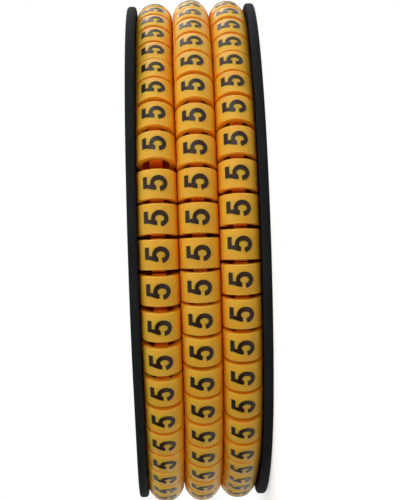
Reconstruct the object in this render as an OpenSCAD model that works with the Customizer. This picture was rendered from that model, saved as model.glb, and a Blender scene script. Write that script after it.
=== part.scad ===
// A loaded reel of printed cable markers, lying on one flange.
// Two moulded spool halves plug together at the hub and hold three lanes of marker strip side by side.
// Each strip is a soft tube, slit into short sleeves that a narrow web on the inner side keeps together.
// Inside each sleeve a soft tongue stands up to the crown; it gives way to the wire and grips it.
// The reel's axis is +Z, and the origin is the middle of the lower flange's outer face.

/* [Marker sleeves] */
// Outside diameter of a sleeve
sleeve_od = 6.5; // [5.5:0.1:7.5]
// Wall of a sleeve
sleeve_wall = 0.95; // [0.8:0.05:1.3]
// Length of a sleeve along the strip
sleeve_length = 4.85; // [4:0.05:8]
// Width of the slit between two sleeves, on the side of the web
slit_w = 0.11; // [0.08:0.01:0.4]
// Width of the web that keeps the sleeves together
web_w = 2.2; // [1.4:0.1:2.8]
// Height of the web inside the sleeve's wall
web_rise = 0.7; // [0.5:0.05:0.75]
// Width of the tongue inside a sleeve
tongue_w = 2.1; // [1.2:0.1:2.6]
// Gap between the tongue's top and the inside of the crown
tongue_gap = 0.15; // [0.1:0.05:2]

/* [Lanes] */
// Direction of the first marker in the lower lane, in degrees about the axis
lower_start = 98.6; // [0:0.1:360]
// Direction of the first marker in the middle lane
middle_start = 96.9; // [0:0.1:360]
// Direction of the first marker in the upper lane
upper_start = 291.6; // [0:0.1:360]
// Clearance between two lanes, and between a lane and its flange
lane_gap = 0.05; // [0.02:0.01:0.3]
// Gap between a sleeve's back and the turn below it
turn_gap = 0.25; // [0.1:0.05:0.5]

/* [Spool] */
// Diameter of the flanges
flange_d = 90.5; // [80:0.5:110]
// Thickness of a flange
flange_t = 1.55; // [1.2:0.05:3]
// Rounding of a flange's rim
rim_round = 0.5; // [0.2:0.05:0.55]
// How far the markers stand out past the flanges
crown_rise = 0.75; // [0.25:0.05:2]
// Outside diameter of the hub that the strips are wound on
hub_d = 27; // [26:0.5:40]
// Wall of the hub's outer tube
hub_wall = 1.6; // [1.2:0.05:1.8]
// Diameter of the bore that takes a dispenser's rod
bore_d = 20; // [14:0.5:20.5]
// Rounding of the bore's two mouths
mouth_round = 0.4; // [0.2:0.05:0.6]

/* [Fits] */
// Radial clearance of the inner hub tube in the outer one
plug_gap = 0.05; // [0.03:0.01:0.15]
// Clearance at the free end of each hub tube
end_gap = 0.2; // [0.1:0.05:0.5]
// Clearance of the strips round the hub
wind_gap = 0.1; // [0.05:0.05:0.3]

/* [Hidden] */
$fn = 96;
LANES = 3;

BLACK = [0.15, 0.16, 0.16];
AMBER = [0.86, 0.66, 0.24];

// The lanes across the reel
lane_pitch = sleeve_od + lane_gap;
inner_w = LANES * lane_pitch + lane_gap;
reel_w = inner_w + 2 * flange_t;

// The outer turn of each lane: its sleeves sit a slit apart round the seat radius,
// and what is left of the circle is one wider gap where the turn closes
crown_r = flange_d / 2 + crown_rise;
sleeve_r = crown_r - sleeve_od / 2;
seat_r = crown_r - sleeve_od;
marker_step = 2 * atan((sleeve_length + slit_w) / (2 * seat_r));
markers_per_turn = floor(360 / marker_step);

// The turns underneath, down to the hub
ridge_top = seat_r - turn_gap;
ridge_r = 0.6 * sleeve_od;
ridge_middle = ridge_top - ridge_r;
wind_r = hub_d / 2 + wind_gap;

// The hub: an outer tube on the base, and an inner tube on the cap that plugs into it
socket_r = hub_d / 2 - hub_wall;
plug_r = socket_r - plug_gap;
overlap = 0.5;

// Section of one flange, its outer face on the radius axis, with a rounded rim and a rounded bore mouth
module flange_section() {
    difference() {
        translate([bore_d / 2, 0])
            square([(flange_d - bore_d) / 2, flange_t]);
        translate([flange_d / 2 - rim_round, flange_t - rim_round])
            corner_section(rim_round);
        translate([flange_d / 2 - rim_round, rim_round])
            mirror([0, 1])
                corner_section(rim_round);
        translate([bore_d / 2 + mouth_round, mouth_round])
            rotate(180)
                corner_section(mouth_round);
    }
}

// What a rounding takes off an outer corner
module corner_section(radius) {
    difference() {
        square(2 * radius);
        circle(radius);
    }
}

// Lower spool half: flange and the hub's outer tube
module spool_base() {
    tube_top = reel_w - flange_t - end_gap;
    color(BLACK)
        rotate_extrude()
            union() {
                flange_section();
                translate([socket_r, flange_t - overlap])
                    square([hub_wall, tube_top - flange_t + overlap]);
            }
}

// Upper spool half: flange and the hub's inner tube, with the bore through it
module spool_cap() {
    tube_bottom = flange_t + end_gap;
    color(BLACK)
        rotate_extrude()
            union() {
                translate([0, reel_w])
                    mirror([0, 1])
                        flange_section();
                translate([bore_d / 2, tube_bottom])
                    square([plug_r - bore_d / 2, reel_w - flange_t - tube_bottom + overlap]);
            }
}

// One sleeve of the outer turn with its tongue, its axis along the circle and its crown on the +X side
module sleeve() {
    hollow_r = sleeve_od / 2 - sleeve_wall;
    tongue_foot = sleeve_wall / 2;
    translate([sleeve_r, 0, 0])
        rotate([90, 0, 0])
            linear_extrude(sleeve_length, center = true)
                union() {
                    difference() {
                        circle(d = sleeve_od);
                        circle(hollow_r);
                    }
                    translate([-hollow_r - tongue_foot, -tongue_w / 2])
                        square([2 * hollow_r + tongue_foot - tongue_gap, tongue_w]);
                }
}

// Section of a lane under its outer sleeves: the wound turns with a rounded top, and the web on them
module turns_section() {
    translate([wind_r, -sleeve_od / 2])
        square([ridge_middle - wind_r, sleeve_od]);
    intersection() {
        translate([ridge_middle, 0])
            circle(ridge_r);
        translate([ridge_middle - overlap, -sleeve_od / 2])
            square([ridge_r + 2 * overlap, sleeve_od]);
    }
    translate([ridge_middle, -web_w / 2])
        square([seat_r + web_rise - ridge_middle, web_w]);
}

// One lane of marker strip: the wound turns, and the sleeves of the outer turn on their web
module strip(lane, start) {
    color(AMBER)
        translate([0, 0, flange_t + lane_gap + lane_pitch * lane + sleeve_od / 2])
            union() {
                rotate_extrude()
                    turns_section();
                for (marker = [0 : markers_per_turn - 1])
                    rotate(start + marker * marker_step)
                        sleeve();
            }
}

module lower_strip() { strip(0, lower_start); }
module middle_strip() { strip(1, middle_start); }
module upper_strip() { strip(2, upper_start); }

spool_base();
spool_cap();
lower_strip();
middle_strip();
upper_strip();
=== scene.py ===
import math
import random

import bpy
from mathutils import Matrix, Vector


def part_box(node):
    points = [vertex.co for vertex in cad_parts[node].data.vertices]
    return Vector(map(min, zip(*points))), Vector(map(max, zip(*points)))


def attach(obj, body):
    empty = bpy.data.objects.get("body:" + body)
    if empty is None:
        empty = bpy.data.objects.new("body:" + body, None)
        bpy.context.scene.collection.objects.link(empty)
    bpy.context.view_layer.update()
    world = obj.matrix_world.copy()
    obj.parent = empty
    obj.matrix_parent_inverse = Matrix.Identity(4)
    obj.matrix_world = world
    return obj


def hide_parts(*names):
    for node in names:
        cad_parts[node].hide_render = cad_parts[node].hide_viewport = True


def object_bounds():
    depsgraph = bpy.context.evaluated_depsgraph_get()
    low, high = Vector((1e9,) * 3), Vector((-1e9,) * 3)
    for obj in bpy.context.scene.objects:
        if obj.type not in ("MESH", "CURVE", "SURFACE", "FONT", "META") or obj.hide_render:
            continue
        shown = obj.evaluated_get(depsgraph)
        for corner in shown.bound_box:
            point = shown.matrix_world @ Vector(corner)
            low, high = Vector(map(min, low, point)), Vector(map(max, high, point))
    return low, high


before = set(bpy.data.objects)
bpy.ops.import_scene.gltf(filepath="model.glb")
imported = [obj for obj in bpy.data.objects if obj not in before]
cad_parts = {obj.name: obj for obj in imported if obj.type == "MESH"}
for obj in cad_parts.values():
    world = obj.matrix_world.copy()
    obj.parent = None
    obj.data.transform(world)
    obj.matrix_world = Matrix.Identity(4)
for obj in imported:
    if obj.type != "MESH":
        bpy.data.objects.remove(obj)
cad_low, cad_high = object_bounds()

# Spool
# Two black halves, injection moulded in polystyrene and plugged together at the hub.
# Each is a thin flange with a rounded rim, and a tube that stands on its inner face.
MM = 0.001
FLANGE_T = 1.55 * MM
RIM_ROUND = 0.5 * MM
HUB_R = 13.5 * MM
HUB_WALL = 1.6 * MM
BORE_R = 10 * MM
MOUTH_ROUND = 0.4 * MM
PLUG_GAP = 0.05 * MM
END_GAP = 0.2 * MM
SPOOL_STEPS = 192
RIM_STEPS = 5
MOUTH_STEPS = 4
SMOOTH_BELOW = math.radians(40)
WELD = 0.001 * MM
# The direction of the front about the axis, in degrees. Stretches round the reel are counted from it.
FRONT = 270
# The thin flanges are a little warped: along this stretch the reel is bent up at its rim.
WARP_MIDDLE = -95
WARP_HALF = 65
WARP_RISE = 0.55 * MM
reel_w = cad_high.z
flange_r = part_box("spool_base")[1].x
socket_r = HUB_R - HUB_WALL


def draw_outline(name, corners):
    """A closed outline in the XZ plane, drawn by extruding one point from corner to corner."""
    bpy.ops.object.select_all(action="DESELECT")
    bpy.ops.mesh.primitive_plane_add(size=MM)
    outline = bpy.context.object
    outline.name = name
    outline.data.name = name
    places = [Vector((across, 0, up)) for across, up in corners]
    bpy.ops.object.mode_set(mode="EDIT")
    bpy.ops.mesh.merge(type="CENTER")
    bpy.ops.transform.translate(value=places[0])
    for here, there in zip(places, places[1:] + places[:1]):
        bpy.ops.mesh.extrude_region_move(TRANSFORM_OT_translate={"value": there - here})
    bpy.ops.mesh.select_all(action="SELECT")
    bpy.ops.mesh.remove_doubles(threshold=WELD)
    bpy.ops.object.mode_set(mode="OBJECT")
    return outline


def pick_points(piece, places):
    """Goes into edit mode with only the piece's points at the given places selected."""
    bpy.ops.object.mode_set(mode="EDIT")
    bpy.ops.mesh.select_all(action="DESELECT")
    bpy.ops.object.mode_set(mode="OBJECT")
    for point in piece.data.vertices:
        point.select = any((point.co - place).length < WELD for place in places)
    bpy.ops.object.mode_set(mode="EDIT")


def round_corners(outline, corners, radius, steps):
    """Rounds the outline's corners that lie at the given places."""
    pick_points(outline, [Vector((across, 0, up)) for across, up in corners])
    bpy.ops.mesh.bevel(offset=radius, segments=steps, affect="VERTICES")
    bpy.ops.object.mode_set(mode="OBJECT")


def turn_outline(outline, steps):
    """Turns the outline once round the Z axis into a closed ring with its faces outwards."""
    bpy.ops.object.mode_set(mode="EDIT")
    bpy.ops.mesh.select_all(action="SELECT")
    bpy.ops.mesh.spin(steps=steps, angle=math.tau, center=(0, 0, 0), axis=(0, 0, 1))
    bpy.ops.mesh.select_all(action="SELECT")
    bpy.ops.mesh.remove_doubles(threshold=WELD)
    bpy.ops.mesh.normals_make_consistent(inside=False)
    bpy.ops.object.mode_set(mode="OBJECT")
    bpy.ops.object.shade_smooth_by_angle(angle=SMOOTH_BELOW)


def swell_share(angle, middle, half):
    """How far an angle is from the middle of a stretch, as a quarter turn at the stretch's end."""
    from_front = (math.degrees(angle) - FRONT + 180) % 360 - 180
    return (from_front - middle) / half * math.pi / 2


def warp(place):
    """How far the reel is bent up at a place: not at the hub, and most at the rim in the warped stretch."""
    share = swell_share(math.atan2(place.y, place.x), WARP_MIDDLE, WARP_HALF)
    if abs(share) > math.pi / 2:
        return 0.0
    return WARP_RISE * math.cos(share) ** 2 * max(0.0, (place.xy.length - HUB_R) / (flange_r - HUB_R))


def linear(code):
    """A colour written as an sRGB hex code, in the linear values that shaders take."""
    parts = [int(code[place:place + 2], 16) / 255 for place in (1, 3, 5)]
    return [p / 12.92 if p <= 0.04045 else ((p + 0.055) / 1.055) ** 2.4 for p in parts] + [1.0]


def add_node(tree, kind, inputs=None, **settings):
    """Adds a node with its settings. An input is a value, or another node's output to link."""
    made = tree.nodes.new(kind)
    for name, value in settings.items():
        setattr(made, name, value)
    for name, value in (inputs or {}).items():
        if isinstance(value, bpy.types.NodeSocket):
            tree.links.new(value, made.inputs[name])
        else:
            made.inputs[name].default_value = value
    return made


def new_material(name):
    """A material with an empty node tree."""
    made = bpy.data.materials.new(name)
    made.use_nodes = True
    made.node_tree.nodes.clear()
    return made


def noise(tree, place, size, detail):
    """Noise with patches of about the given size."""
    made = add_node(tree, "ShaderNodeTexNoise", {"Vector": place, "Scale": 1 / size, "Detail": detail})
    return made.outputs["Fac"]


def two_tones(tree, level, start, end, darker, lighter):
    """A colour that goes from the darker to the lighter code as a level goes from start to end."""
    made = add_node(tree, "ShaderNodeValToRGB", {"Fac": level})
    made.color_ramp.elements[0].position = start
    made.color_ramp.elements[0].color = linear(darker)
    made.color_ramp.elements[1].position = end
    made.color_ramp.elements[1].color = linear(lighter)
    return made.outputs["Color"]


# Black polystyrene from a fine-grained mould: dark and even, with a faint sheen that the grain breaks up.
black_plastic = new_material("moulded_black_polystyrene")
tree = black_plastic.node_tree
place = add_node(tree, "ShaderNodeTexCoord").outputs["Object"]
grain = noise(tree, place, 0.4 * MM, 3.0)
scuffs = noise(tree, place, 7 * MM, 5.0)
gloss = add_node(tree, "ShaderNodeMapRange", {"Value": scuffs, "To Min": 0.66, "To Max": 0.8})
bump = add_node(tree, "ShaderNodeBump", {"Height": grain, "Strength": 0.12, "Distance": 0.02 * MM})
shader = add_node(tree, "ShaderNodeBsdfPrincipled", {
    "Base Color": two_tones(tree, scuffs, 0.35, 0.75, "#1d2021", "#242729"),
    "Roughness": gloss.outputs["Result"],
    "IOR": 1.5,
    "Specular IOR Level": 0.04,
    "Normal": bump.outputs["Normal"],
})
add_node(tree, "ShaderNodeOutputMaterial", {"Surface": shader.outputs["BSDF"]})

base_corners = [
    (BORE_R, 0),
    (flange_r, 0),
    (flange_r, FLANGE_T),
    (HUB_R, FLANGE_T),
    (HUB_R, reel_w - FLANGE_T - END_GAP),
    (socket_r, reel_w - FLANGE_T - END_GAP),
    (socket_r, FLANGE_T),
    (BORE_R, FLANGE_T),
]
plug_r = socket_r - PLUG_GAP
cap_corners = [
    (BORE_R, reel_w),
    (flange_r, reel_w),
    (flange_r, reel_w - FLANGE_T),
    (plug_r, reel_w - FLANGE_T),
    (plug_r, FLANGE_T + END_GAP),
    (BORE_R, FLANGE_T + END_GAP),
]
for half, corners in {"spool_base": base_corners, "spool_cap": cap_corners}.items():
    moulding = draw_outline(half + "_moulding", corners)
    round_corners(moulding, corners[1:3], RIM_ROUND, RIM_STEPS)
    round_corners(moulding, corners[:1], MOUTH_ROUND, MOUTH_STEPS)
    turn_outline(moulding, SPOOL_STEPS)
    for point in moulding.data.vertices:
        point.co.z += warp(point.co)
    moulding.data.materials.append(black_plastic)
    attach(moulding, "root")
    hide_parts(half)

# Marker strips
# Three lanes of soft PVC tube, slit from outside into short sleeves that a web on the inside keeps together.
# Wound on the hub, the slits of the outer turn gape. They show the tongue that stands in each sleeve to grip
# the wire, with a dark hollow on both sides of it.
SLEEVE_WALL = 0.95 * MM
SLEEVE_LENGTH = 4.85 * MM
SLIT_W = 0.11 * MM
WEB_W = 2.2 * MM
WEB_RISE = 0.7 * MM
TONGUE_W = 2.1 * MM
TONGUE_GAP = 0.15 * MM
TONGUE_FLARE = 1.09
CROWN_RISE = 0.75 * MM
TURN_GAP = 0.25 * MM
WIND_GAP = 0.1 * MM
RIDGE_SHARE = 0.6
EDGE_ROUND = 0.17 * MM
EDGE_STEPS = 2
SLEEVE_SIDES = 24
RIDGE_STEPS = 8
TURN_STEPS = 150
LEAN = math.radians(0.5)
LANE_STARTS = {"lower_strip": 98.6, "middle_strip": 96.9, "upper_strip": 291.6}
# Along this stretch the slits are nearly shut: the sleeves are longer, by this share in its middle.
SHUT_MIDDLE = -72
SHUT_HALF = 60
SHUT_STRETCH = 0.1
# Winding is uneven. A stretch is given by its middle and half its length, in degrees from the front,
# and by how far it is pushed along in degrees and how deep it is pulled in.
UNEVEN_STRETCHES = {
    "lower_strip": [(-45, 40, 0.9, 0), (-45, 12, -0.5, 0), (8, 22, -0.2, 0),
                    (-68, 25, 0, 1.0 * MM), (47, 26, 0, 0.9 * MM), (80, 20, 0, 0.3 * MM)],
    "middle_strip": [(-42, 42, 1.5, 0), (-16, 18, 0.4, 0), (40, 18, 0.85, 0), (64, 20, 0.8, 0)],
    "upper_strip": [(-42, 45, -1.0, 0), (75, 60, 1.6, 0), (50, 34, 0, 2.1 * MM), (80, 25, 0, 0.45 * MM)],
}
strip_low, strip_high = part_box("lower_strip")
sleeve_od = strip_high.z - strip_low.z
crown_r = flange_r + CROWN_RISE
sleeve_r = crown_r - sleeve_od / 2
seat_r = crown_r - sleeve_od
marker_step = 2 * math.atan((SLEEVE_LENGTH + SLIT_W) / (2 * seat_r))
marker_count = math.floor(math.tau / marker_step)

# Soft amber PVC, extruded and cut: satin, slightly translucent, so thin edges and deep slits glow orange.
# A paler rim round both ends of the crown is a painted highlight. The cut faces and the shut-in flanks are a
# deeper orange: painted shade, and a painted glow of the light that comes through the PVC next to them.
skins = {}
for name, darker, lighter in [
    ("soft_amber_pvc", "#f1b130", "#f5b938"),
    ("painted_highlight_rim_pvc", "#fabc44", "#fcc44e"),
    ("painted_shade_and_glow_pvc", "#f2981a", "#f6a020"),
]:
    skins[name] = new_material(name)
    tree = skins[name].node_tree
    place = add_node(tree, "ShaderNodeTexCoord").outputs["Object"]
    cloud = noise(tree, place, 9 * MM, 4.0)
    grain = noise(tree, place, 0.5 * MM, 4.0)
    gloss = add_node(tree, "ShaderNodeMapRange", {"Value": grain, "To Min": 0.36, "To Max": 0.5})
    bump = add_node(tree, "ShaderNodeBump", {"Height": grain, "Strength": 0.1, "Distance": 0.03 * MM})
    shader = add_node(tree, "ShaderNodeBsdfPrincipled", {
        "Base Color": two_tones(tree, cloud, 0.3, 0.7, darker, lighter),
        "Roughness": gloss.outputs["Result"],
        "IOR": 1.5,
        "Specular IOR Level": 0.3,
        "Subsurface Weight": 0.9,
        "Subsurface Radius": (1.0, 0.25, 0.05),
        "Subsurface Scale": 1.5 * MM,
        "Normal": bump.outputs["Normal"],
    })
    add_node(tree, "ShaderNodeOutputMaterial", {"Surface": shader.outputs["BSDF"]})

# The same PVC inside the tube, matte and painted a deep red-orange: painted shade, as the light only reaches
# it through the PVC itself.
painted_shade_pvc = new_material("inner_painted_shade_pvc")
tree = painted_shade_pvc.node_tree
place = add_node(tree, "ShaderNodeTexCoord").outputs["Object"]
drag = noise(tree, place, 0.6 * MM, 4.0)
shader = add_node(tree, "ShaderNodeBsdfPrincipled", {
    "Base Color": two_tones(tree, drag, 0.3, 0.7, "#fa6608", "#ff740c"),
    "Roughness": 0.6,
    "IOR": 1.5,
    "Specular IOR Level": 0.05,
    "Subsurface Weight": 0.9,
    "Subsurface Radius": (1.0, 0.15, 0.03),
    "Subsurface Scale": 3 * MM,
})
add_node(tree, "ShaderNodeOutputMaterial", {"Surface": shader.outputs["BSDF"]})

# One sleeve, turned about its own axis. Its faces are told apart by where they lie and which way they face:
# the inside of the tube, the cut faces and the flanks beside the crown, the rims, and the skin.
INSIDE_DEPTH = 0.9 * SLEEVE_WALL
CROWN_FROM = 0.3 * sleeve_od
CUT_FACING = 0.95
RIM_FACING = 0.1
SKIN, INSIDE, PAINTED_HIGHLIGHT, PAINTED_SHADE_AND_GLOW = range(4)
sleeve_corners = [
    (sleeve_od / 2, -SLEEVE_LENGTH / 2),
    (sleeve_od / 2, SLEEVE_LENGTH / 2),
    (sleeve_od / 2 - SLEEVE_WALL, SLEEVE_LENGTH / 2),
    (sleeve_od / 2 - SLEEVE_WALL, -SLEEVE_LENGTH / 2),
]
sleeve = draw_outline("sleeve", sleeve_corners)
round_corners(sleeve, sleeve_corners[:2], EDGE_ROUND, EDGE_STEPS)
turn_outline(sleeve, SLEEVE_SIDES)
sleeve.data.materials.append(skins["soft_amber_pvc"])
sleeve.data.materials.append(painted_shade_pvc)
sleeve.data.materials.append(skins["painted_highlight_rim_pvc"])
sleeve.data.materials.append(skins["painted_shade_and_glow_pvc"])
# The inside is painted shade, the cut faces and flanks painted shade and glow, the rims a painted highlight.
for face in sleeve.data.polygons:
    if face.center.xy.length < sleeve_od / 2 - INSIDE_DEPTH:
        face.material_index = INSIDE
    elif abs(face.normal.z) > CUT_FACING or face.center.x < CROWN_FROM:
        face.material_index = PAINTED_SHADE_AND_GLOW
    elif abs(face.normal.z) > RIM_FACING:
        face.material_index = PAINTED_HIGHLIGHT
    else:
        face.material_index = SKIN
sleeve.rotation_euler = (math.radians(90), 0, 0)
bpy.ops.object.transform_apply(location=False, rotation=True, scale=False)

# The tongue stands on the tube's inner side and flares towards the crown, so its end shows in a gaping slit.
bpy.ops.object.select_all(action="DESELECT")
bpy.ops.mesh.primitive_cube_add(size=1)
tongue = bpy.context.object
tongue_low = -sleeve_od / 2 + SLEEVE_WALL / 2
tongue_high = sleeve_od / 2 - SLEEVE_WALL - TONGUE_GAP
tongue.scale = (tongue_high - tongue_low, SLEEVE_LENGTH, TONGUE_W)
tongue.location = ((tongue_high + tongue_low) / 2, 0, 0)
bpy.ops.object.transform_apply(location=True, rotation=False, scale=True)
for point in tongue.data.vertices:
    if point.co.x > 0:
        point.co.y *= TONGUE_FLARE
# The tongue is given the inside's painted shade.
tongue.data.materials.append(painted_shade_pvc)
sleeve.select_set(True)
bpy.context.view_layer.objects.active = sleeve
bpy.ops.object.join()


def unevenness(strip, angle):
    """How far a lane is pushed along and pulled in at an angle, and how fast it goes in there."""
    along, sunk, slope = 0.0, 0.0, 0.0
    for middle, half, push, depth in UNEVEN_STRETCHES[strip]:
        share = swell_share(angle, middle, half)
        if abs(share) < math.pi / 2:
            along += math.radians(push) * math.cos(share) ** 2
            sunk += depth * math.cos(share) ** 2
            slope -= depth * math.sin(2 * share) * math.degrees(math.pi / 2) / half
    return along, sunk, slope


def marker_places(strip, lane_z, start):
    """Where each marker of a lane sits: about a step apart round the reel, each leaning its own way."""
    chance = random.Random(strip)
    seat = Vector((-sleeve_od / 2, 0, 0))
    places = []
    for marker in range(marker_count):
        angle = start + marker * marker_step
        angle += unevenness(strip, angle)[0]
        _, sunk, slope = unevenness(strip, angle)
        lean = Matrix.Rotation(math.atan(slope / crown_r) + chance.uniform(-LEAN, LEAN), 4, "Z")
        twist = Matrix.Rotation(chance.uniform(-LEAN, LEAN), 4, "X")
        crown = Matrix.Rotation(angle, 4, "Z") @ Vector((crown_r, 0, 0))
        places.append(
            Matrix.Rotation(angle, 4, "Z")
            @ Matrix.Translation((sleeve_r - sunk, 0, lane_z + warp(crown)))
            @ Matrix.Translation(seat) @ lean @ twist @ Matrix.Translation(-seat)
        )
    return places


def shut(there):
    """The place of a sleeve, stretched along the strip where the slits are nearly shut."""
    share = swell_share(math.atan2(there.translation.y, there.translation.x), SHUT_MIDDLE, SHUT_HALF)
    if abs(share) > math.pi / 2:
        return there
    return there @ Matrix.Diagonal((1, 1 + SHUT_STRETCH * math.cos(share) ** 2, 1, 1))


def copy_to_places(model, places, onto):
    """Copies the model to each place and joins the copies onto another piece."""
    copies = []
    for there in places:
        bpy.ops.object.select_all(action="DESELECT")
        model.select_set(True)
        bpy.context.view_layer.objects.active = model
        bpy.ops.object.duplicate()
        copies.append(bpy.context.object)
        copies[-1].matrix_world = there
    bpy.ops.object.select_all(action="DESELECT")
    for copy in copies:
        copy.select_set(True)
    onto = onto or copies[0]
    onto.select_set(True)
    bpy.context.view_layer.objects.active = onto
    bpy.ops.object.join()
    return onto


# Each lane: the turns underneath as one ring with a rounded top and the web on it, and the sleeves round it.
ridge_r = RIDGE_SHARE * sleeve_od
ridge_middle = seat_r - TURN_GAP - ridge_r
ridge_edge = math.asin(sleeve_od / 2 / ridge_r)
web_edge = math.asin(WEB_W / 2 / ridge_r)
lane_places = {}
for strip, start in LANE_STARTS.items():
    lane_low, lane_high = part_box(strip)
    lane_z = (lane_low.z + lane_high.z) / 2
    slopes = [web_edge + (ridge_edge - web_edge) * step / RIDGE_STEPS for step in range(RIDGE_STEPS + 1)]
    upper_slope = [
        (ridge_middle + ridge_r * math.cos(slope), lane_z + ridge_r * math.sin(slope)) for slope in slopes
    ]
    lower_slope = [(across, 2 * lane_z - up) for across, up in reversed(upper_slope)]
    hub_side = [(HUB_R + WIND_GAP, lane_z + sleeve_od / 2), (HUB_R + WIND_GAP, lane_z - sleeve_od / 2)]
    web_top = [(seat_r + WEB_RISE, lane_z - WEB_W / 2), (seat_r + WEB_RISE, lane_z + WEB_W / 2)]
    markers = draw_outline(strip + "_markers", lower_slope + web_top + upper_slope + hub_side)
    turn_outline(markers, TURN_STEPS)
    # The ring and its web are given the inside's painted shade.
    markers.data.materials.append(painted_shade_pvc)
    for point in markers.data.vertices:
        if point.co.xy.length > ridge_middle:
            sunk = unevenness(strip, math.atan2(point.co.y, point.co.x))[1]
            point.co.xy *= 1 - sunk / point.co.xy.length
        point.co.z += warp(point.co)
    lane_places[strip] = marker_places(strip, lane_z, math.radians(start))
    copy_to_places(sleeve, [shut(there) for there in lane_places[strip]], markers)
    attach(markers, "root")
    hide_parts(strip)
bpy.data.objects.remove(sleeve)

# Printed digits
# One black numeral on the crown of every sleeve, printed along the strip before it was slit.
# It is a thin film of ink pressed straight onto the crown, upright when the reel lies on its lower flange.
BOWL_W = 1.33 * MM
BOWL_H = 1.38 * MM
HOLE_W = 0.53 * MM
HOLE_H = 0.72 * MM
BOWL_START = math.radians(145)
BOWL_SWEEP = math.radians(315)
BOWL_STEPS = 20
BOWL_UP = -0.41 * MM
HEEL_UP = 0.4 * MM
STEM_UP = 1.45 * MM
BAR_UP = 1.88 * MM
BAR_T = 0.62 * MM
BAR_LEFT = -0.76 * MM
BAR_RIGHT = 1.17 * MM
INK_RISE = 0.035 * MM
INK_T = 0.07 * MM

# Black printing ink, a little patchy and nearly as glossy as the PVC: a warm black with a grey sheen on top.
black_ink = new_material("black_printing_ink")
tree = black_ink.node_tree
place = add_node(tree, "ShaderNodeTexCoord").outputs["Object"]
patches = noise(tree, place, 0.8 * MM, 4.0)
shader = add_node(tree, "ShaderNodeBsdfPrincipled", {
    "Base Color": two_tones(tree, patches, 0.35, 0.75, "#231003", "#2d1605"),
    "Roughness": 0.35,
    "IOR": 1.5,
    "Specular IOR Level": 0.25,
})
add_node(tree, "ShaderNodeOutputMaterial", {"Surface": shader.outputs["BSDF"]})

# The bowl is swept from one radial line and made oval, then its upper end is levelled off.
bpy.ops.object.select_all(action="DESELECT")
bpy.ops.mesh.primitive_plane_add(size=MM)
digit = bpy.context.object
bpy.ops.object.mode_set(mode="EDIT")
bpy.ops.mesh.merge(type="CENTER")
turns = [BOWL_START - BOWL_SWEEP * step / BOWL_STEPS for step in range(BOWL_STEPS + 1)]
rays = [Vector((math.cos(turn), math.sin(turn), 0)) for turn in turns]
bpy.ops.transform.translate(value=rays[0] * HOLE_W)
bpy.ops.mesh.extrude_region_move(TRANSFORM_OT_translate={"value": rays[0] * (BOWL_W - HOLE_W)})
bpy.ops.mesh.select_all(action="SELECT")
bpy.ops.mesh.spin(steps=BOWL_STEPS, angle=BOWL_SWEEP, center=(0, 0, 0), axis=(0, 0, 1))
bpy.ops.object.mode_set(mode="OBJECT")
for width, height in [(HOLE_W, HOLE_H), (BOWL_W, BOWL_H)]:
    pick_points(digit, [ray * width for ray in rays])
    bpy.ops.transform.resize(value=(1, height / width, 1), center_override=(0, 0, 0))
    bpy.ops.object.mode_set(mode="OBJECT")
outside = [Vector((ray.x * BOWL_W, ray.y * BOWL_H, 0)) for ray in rays]
inside = [Vector((ray.x * HOLE_W, ray.y * HOLE_H, 0)) for ray in rays]
pick_points(digit, [outside[0], inside[0]])
bpy.ops.mesh.extrude_region_move(TRANSFORM_OT_translate={"value": (0, HEEL_UP - outside[0].y, 0)})
bpy.ops.transform.resize(value=(1, 0, 1), center_override=(0, HEEL_UP, 0))
bpy.ops.object.mode_set(mode="OBJECT")

# The stem leans up from the bowl's shoulder, and the bar runs right from the stem's top.
STEM_POINTS = 4
stem_foot = outside[:STEM_POINTS]
stem_right = stem_foot[-1].x
stem_scale = (stem_right - BAR_LEFT) / (stem_right - stem_foot[0].x)
half_scale = 1 + (stem_scale - 1) * (STEM_UP - stem_foot[0].y) / (BAR_UP - stem_foot[0].y)
pick_points(digit, stem_foot)
bpy.ops.mesh.extrude_region_move(TRANSFORM_OT_translate={"value": (0, STEM_UP - stem_foot[0].y, 0)})
bpy.ops.transform.resize(value=(half_scale, 0, 1), center_override=(stem_right, STEM_UP, 0))
bpy.ops.mesh.extrude_region_move(TRANSFORM_OT_translate={"value": (0, BAR_UP - STEM_UP, 0)})
bpy.ops.transform.resize(value=(stem_scale / half_scale, 1, 1), center_override=(stem_right, 0, 0))
bpy.ops.mesh.extrude_region_move(TRANSFORM_OT_translate={"value": (0, BAR_T, 0)})
bpy.ops.object.mode_set(mode="OBJECT")
bar_end = Vector((stem_right, BAR_UP, 0))
pick_points(digit, [bar_end, bar_end + Vector((0, BAR_T, 0))])
bpy.ops.mesh.extrude_region_move(TRANSFORM_OT_translate={"value": (BAR_RIGHT - stem_right, 0, 0)})
bpy.ops.object.mode_set(mode="OBJECT")

# The flat digit is wrapped onto the crown and given the thickness of the film.
for point in digit.data.vertices:
    up = point.co.y + BOWL_UP
    out = math.sqrt((sleeve_od / 2 + INK_RISE) ** 2 - up ** 2)
    point.co = (out, point.co.x, up)
film = digit.modifiers.new("film", "SOLIDIFY")
film.thickness = INK_T
film.offset = 0
bpy.ops.object.modifier_apply(modifier=film.name)
bpy.ops.object.mode_set(mode="EDIT")
bpy.ops.mesh.select_all(action="SELECT")
bpy.ops.mesh.normals_make_consistent(inside=False)
bpy.ops.object.mode_set(mode="OBJECT")

for strip, places in lane_places.items():
    digits = copy_to_places(digit, places, None)
    digits.name = strip + "_digits"
    digits.data.name = strip + "_digits"
    bpy.ops.object.transform_apply(location=True, rotation=True, scale=True)
    digits.data.materials.append(black_ink)
    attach(digits, "root")
bpy.data.objects.remove(digit)

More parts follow.
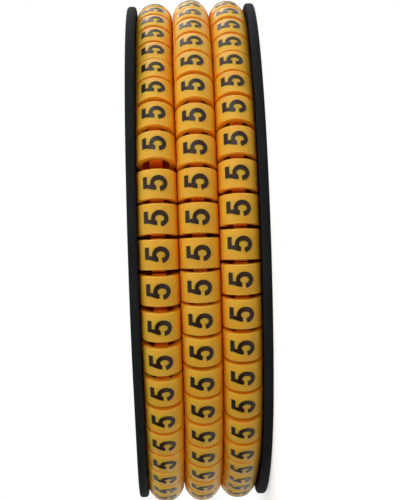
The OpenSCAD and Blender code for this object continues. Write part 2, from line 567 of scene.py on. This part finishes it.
# Studio
# A wide white floor in a white room, which is darker in front and on the side at the picture's bottom,
# and four soft boxes round the reel. The camera and reflections see floor and room at full brightness,
# and other rays get less light from them.
FLOOR_SIZE = 40.0
FLOOR_GLOW = 0.6
ROOM_SHARE = 0.6
BRIGHT_SIDE = Vector((0.9, 0.35, 0.5))
BRIGHT_FROM = 0.15
DARK_FROM = -0.4
DARK_LEVEL = 0.1
BOX_SIZE = 0.5
WHITE = (1, 1, 1, 1)


def shown_rays(tree):
    """One for rays from the camera, a reflection or something clear, and nothing for the rest."""
    path = add_node(tree, "ShaderNodeLightPath")
    shown = path.outputs["Is Camera Ray"]
    for other in ("Is Glossy Ray", "Is Transmission Ray"):
        larger = add_node(tree, "ShaderNodeMath", {0: shown, 1: path.outputs[other]}, operation="MAXIMUM")
        shown = larger.outputs["Value"]
    return shown


# White paper, matte, so the reel's soft shadow shows on it.
bpy.ops.object.select_all(action="DESELECT")
bpy.ops.mesh.primitive_plane_add(size=FLOOR_SIZE)
floor = bpy.context.object
floor.name = "floor"
paper = new_material("white_paper")
tree = paper.node_tree
shader = add_node(tree, "ShaderNodeBsdfDiffuse", {"Color": linear("#d2d2d2")})
glow = add_node(tree, "ShaderNodeEmission", {"Color": WHITE, "Strength": FLOOR_GLOW})
both = add_node(tree, "ShaderNodeAddShader")
tree.links.new(shader.outputs["BSDF"], both.inputs[0])
tree.links.new(glow.outputs["Emission"], both.inputs[1])
seen = add_node(tree, "ShaderNodeMixShader", {"Fac": shown_rays(tree)})
tree.links.new(shader.outputs["BSDF"], seen.inputs[1])
tree.links.new(both.outputs["Shader"], seen.inputs[2])
add_node(tree, "ShaderNodeOutputMaterial", {"Surface": seen.outputs["Shader"]})
floor.data.materials.append(paper)

# The room
world = bpy.data.worlds.new("studio")
bpy.context.scene.world = world
world.use_nodes = True
tree = world.node_tree
tree.nodes.clear()
aim = add_node(tree, "ShaderNodeTexCoord").outputs["Generated"]
side = add_node(tree, "ShaderNodeVectorMath", {0: aim, 1: BRIGHT_SIDE}, operation="DOT_PRODUCT")
white = add_node(tree, "ShaderNodeMapRange", {
    "Value": side.outputs["Value"],
    "From Min": DARK_FROM,
    "From Max": BRIGHT_FROM,
    "To Min": DARK_LEVEL,
    "To Max": 1.0,
})
share = add_node(tree, "ShaderNodeMapRange", {"Value": shown_rays(tree), "To Min": ROOM_SHARE, "To Max": 1.0})
level = add_node(
    tree, "ShaderNodeMath", {0: white.outputs["Result"], 1: share.outputs["Result"]}, operation="MULTIPLY"
)
backdrop = add_node(tree, "ShaderNodeBackground", {"Color": WHITE, "Strength": level.outputs["Value"]})
add_node(tree, "ShaderNodeOutputWorld", {"Surface": backdrop.outputs["Background"]})


def soft_box(name, place, watts):
    """A square soft light at a place, aimed at the middle of the reel."""
    lamp = bpy.data.lights.new(name, "AREA")
    lamp.shape = "SQUARE"
    lamp.size = BOX_SIZE
    lamp.energy = watts
    holder = bpy.data.objects.new(name, lamp)
    holder.location = place
    holder.rotation_euler = (centre - Vector(place)).to_track_quat("-Z", "Y").to_euler()
    bpy.context.scene.collection.objects.link(holder)
    return holder


centre = Vector((0, 0, reel_w / 2))
soft_box("key", (0.6, -0.3, 0.1), 1.85)
soft_box("fill", (0.05, -0.45, 0.5), 0.65)
# The one in front only lifts the shade, so it leaves no highlight.
front = soft_box("front", (-0.3, -0.6, 0.1), 1.2)
front.visible_glossy = False
soft_box("edge", (0.5, 0.4, 0.1), 1.1)

# Camera
# It stands a little over the floor in front of the reel, and is turned on its side,
# so that the reel's axis runs across the picture.
CAMERA_DISTANCE = 296.6 * MM
CAMERA_HEIGHT = 13.53 * MM
CAMERA_TILT = math.radians(89.5)
CAMERA_ROLL = math.radians(-91.81)
CAMERA_LENS = 114.4
CAMERA_SENSOR = 36
CAMERA_NEAR = 10 * MM
camera = bpy.data.objects.new("camera", bpy.data.cameras.new("camera"))
bpy.context.scene.collection.objects.link(camera)
camera.data.lens = CAMERA_LENS
camera.data.sensor_width = CAMERA_SENSOR
camera.data.clip_start = CAMERA_NEAR
camera.matrix_world = (
    Matrix.Translation((0, -CAMERA_DISTANCE, CAMERA_HEIGHT))
    @ Matrix.Rotation(CAMERA_TILT, 4, "X")
    @ Matrix.Rotation(CAMERA_ROLL, 4, "Z")
)
bpy.context.scene.camera = camera
bpy.context.scene.view_settings.view_transform = "Standard"
